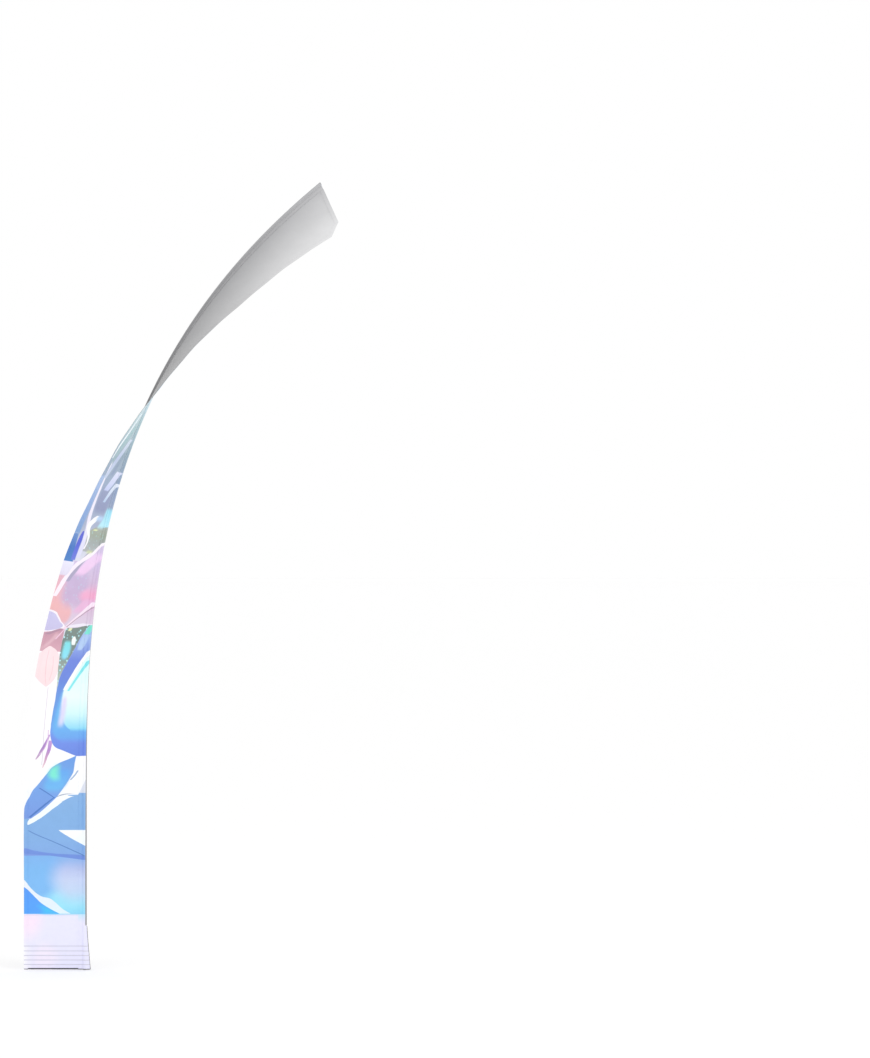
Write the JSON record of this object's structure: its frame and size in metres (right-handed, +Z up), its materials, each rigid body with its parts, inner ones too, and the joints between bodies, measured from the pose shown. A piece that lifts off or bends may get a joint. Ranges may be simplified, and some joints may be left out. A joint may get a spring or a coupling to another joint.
{
  "type": "feather flag with pole",
  "caption": "Narrow printed feather flag, sewn by a sleeve to a curved sectional pole that turns on a base spindle, with hems, a stitched bottom band and an elastic tension strap.",
  "frame": {"origin": "middle of the pole's foot, at the underside of the spindle bushing's flange", "axes": "+Z up along the straight lower pole, +X the way the pole bends, -Y the way the printed face looks at the foot"},
  "size_m": [1.3536, 0.2787, 3.3793],
  "materials": {
    "bushing_plastic": "moulded acetal",
    "anodised_tube": "satin anodised",
    "ferrule_metal": "turned",
    "glass_fibre": "pultruded glass fibre",
    "spring_steel": "bright",
    "printed_cloth": "printed knitted polyester with a grey blockout back",
    "sleeve_cloth": "grey stretch polyester",
    "white_cloth": "white woven polyester",
    "hem_cloth": "folded polyester hem",
    "dark_binding": "woven binding tape",
    "webbing": "woven polyester webbing",
    "moulded_plastic": "fine textured nylon",
    "elastic_strap": "woven elastic webbing",
    "plated_steel": "nickel plated"
  },
  "bodies": {
    "spindle_bush": {"spindle_bushing": "bushing_plastic"},
    "pole_and_flag": {"base_tube": "anodised_tube", "lower_ferrule": "ferrule_metal", "middle_tube": "glass_fibre", "button_spring": "spring_steel", "middle_ferrule": "ferrule_metal", "upper_rod": "glass_fibre", "upper_ferrule": "ferrule_metal", "tip_rod": "glass_fibre", "tip_cap": "moulded_plastic", "flag_cloth": "printed_cloth", "pole_sleeve": "sleeve_cloth", "sleeve_mouth": "white_cloth", "mouth_piping": "dark_binding", "free_edge_hem": "hem_cloth", "top_hem": "hem_cloth", "bottom_band": "white_cloth", "bottom_binding": "dark_binding", "tip_pocket": "webbing", "foot_collar": "moulded_plastic", "snap_hook": "plated_steel", "gate_pin": "spring_steel", "tension_strap": "elastic_strap", "ring_tab": "webbing", "tension_ring": "plated_steel"},
    "hook_gate": {"hook_gate": "plated_steel"},
    "pole_button": {"snap_button": "spring_steel"}
  },
  "joints": [
    {"name": "flag_turn", "type": "hinge", "parent": "spindle_bush", "child": "pole_and_flag", "pos_m": [0, 0, 0], "axis": [0, 0, 1], "continuous": true},
    {"name": "hook_gate_swing", "type": "hinge", "parent": "pole_and_flag", "child": "hook_gate", "pos_m": [-0.0217, 0.0121, 0.028], "axis": [0, 1, 0], "range_deg": [0, 25], "stiffness_Nm_per_rad": 0.03, "springref_deg": -20.05},
    {"name": "snap_button_press", "type": "slide", "parent": "pole_and_flag", "child": "pole_button", "axis": [0, -1, 0], "range_m": [0, 0.0013], "stiffness_N_per_m": 1500, "springref_m": -0.002, "deforming": ["button_spring"]}
  ]
}
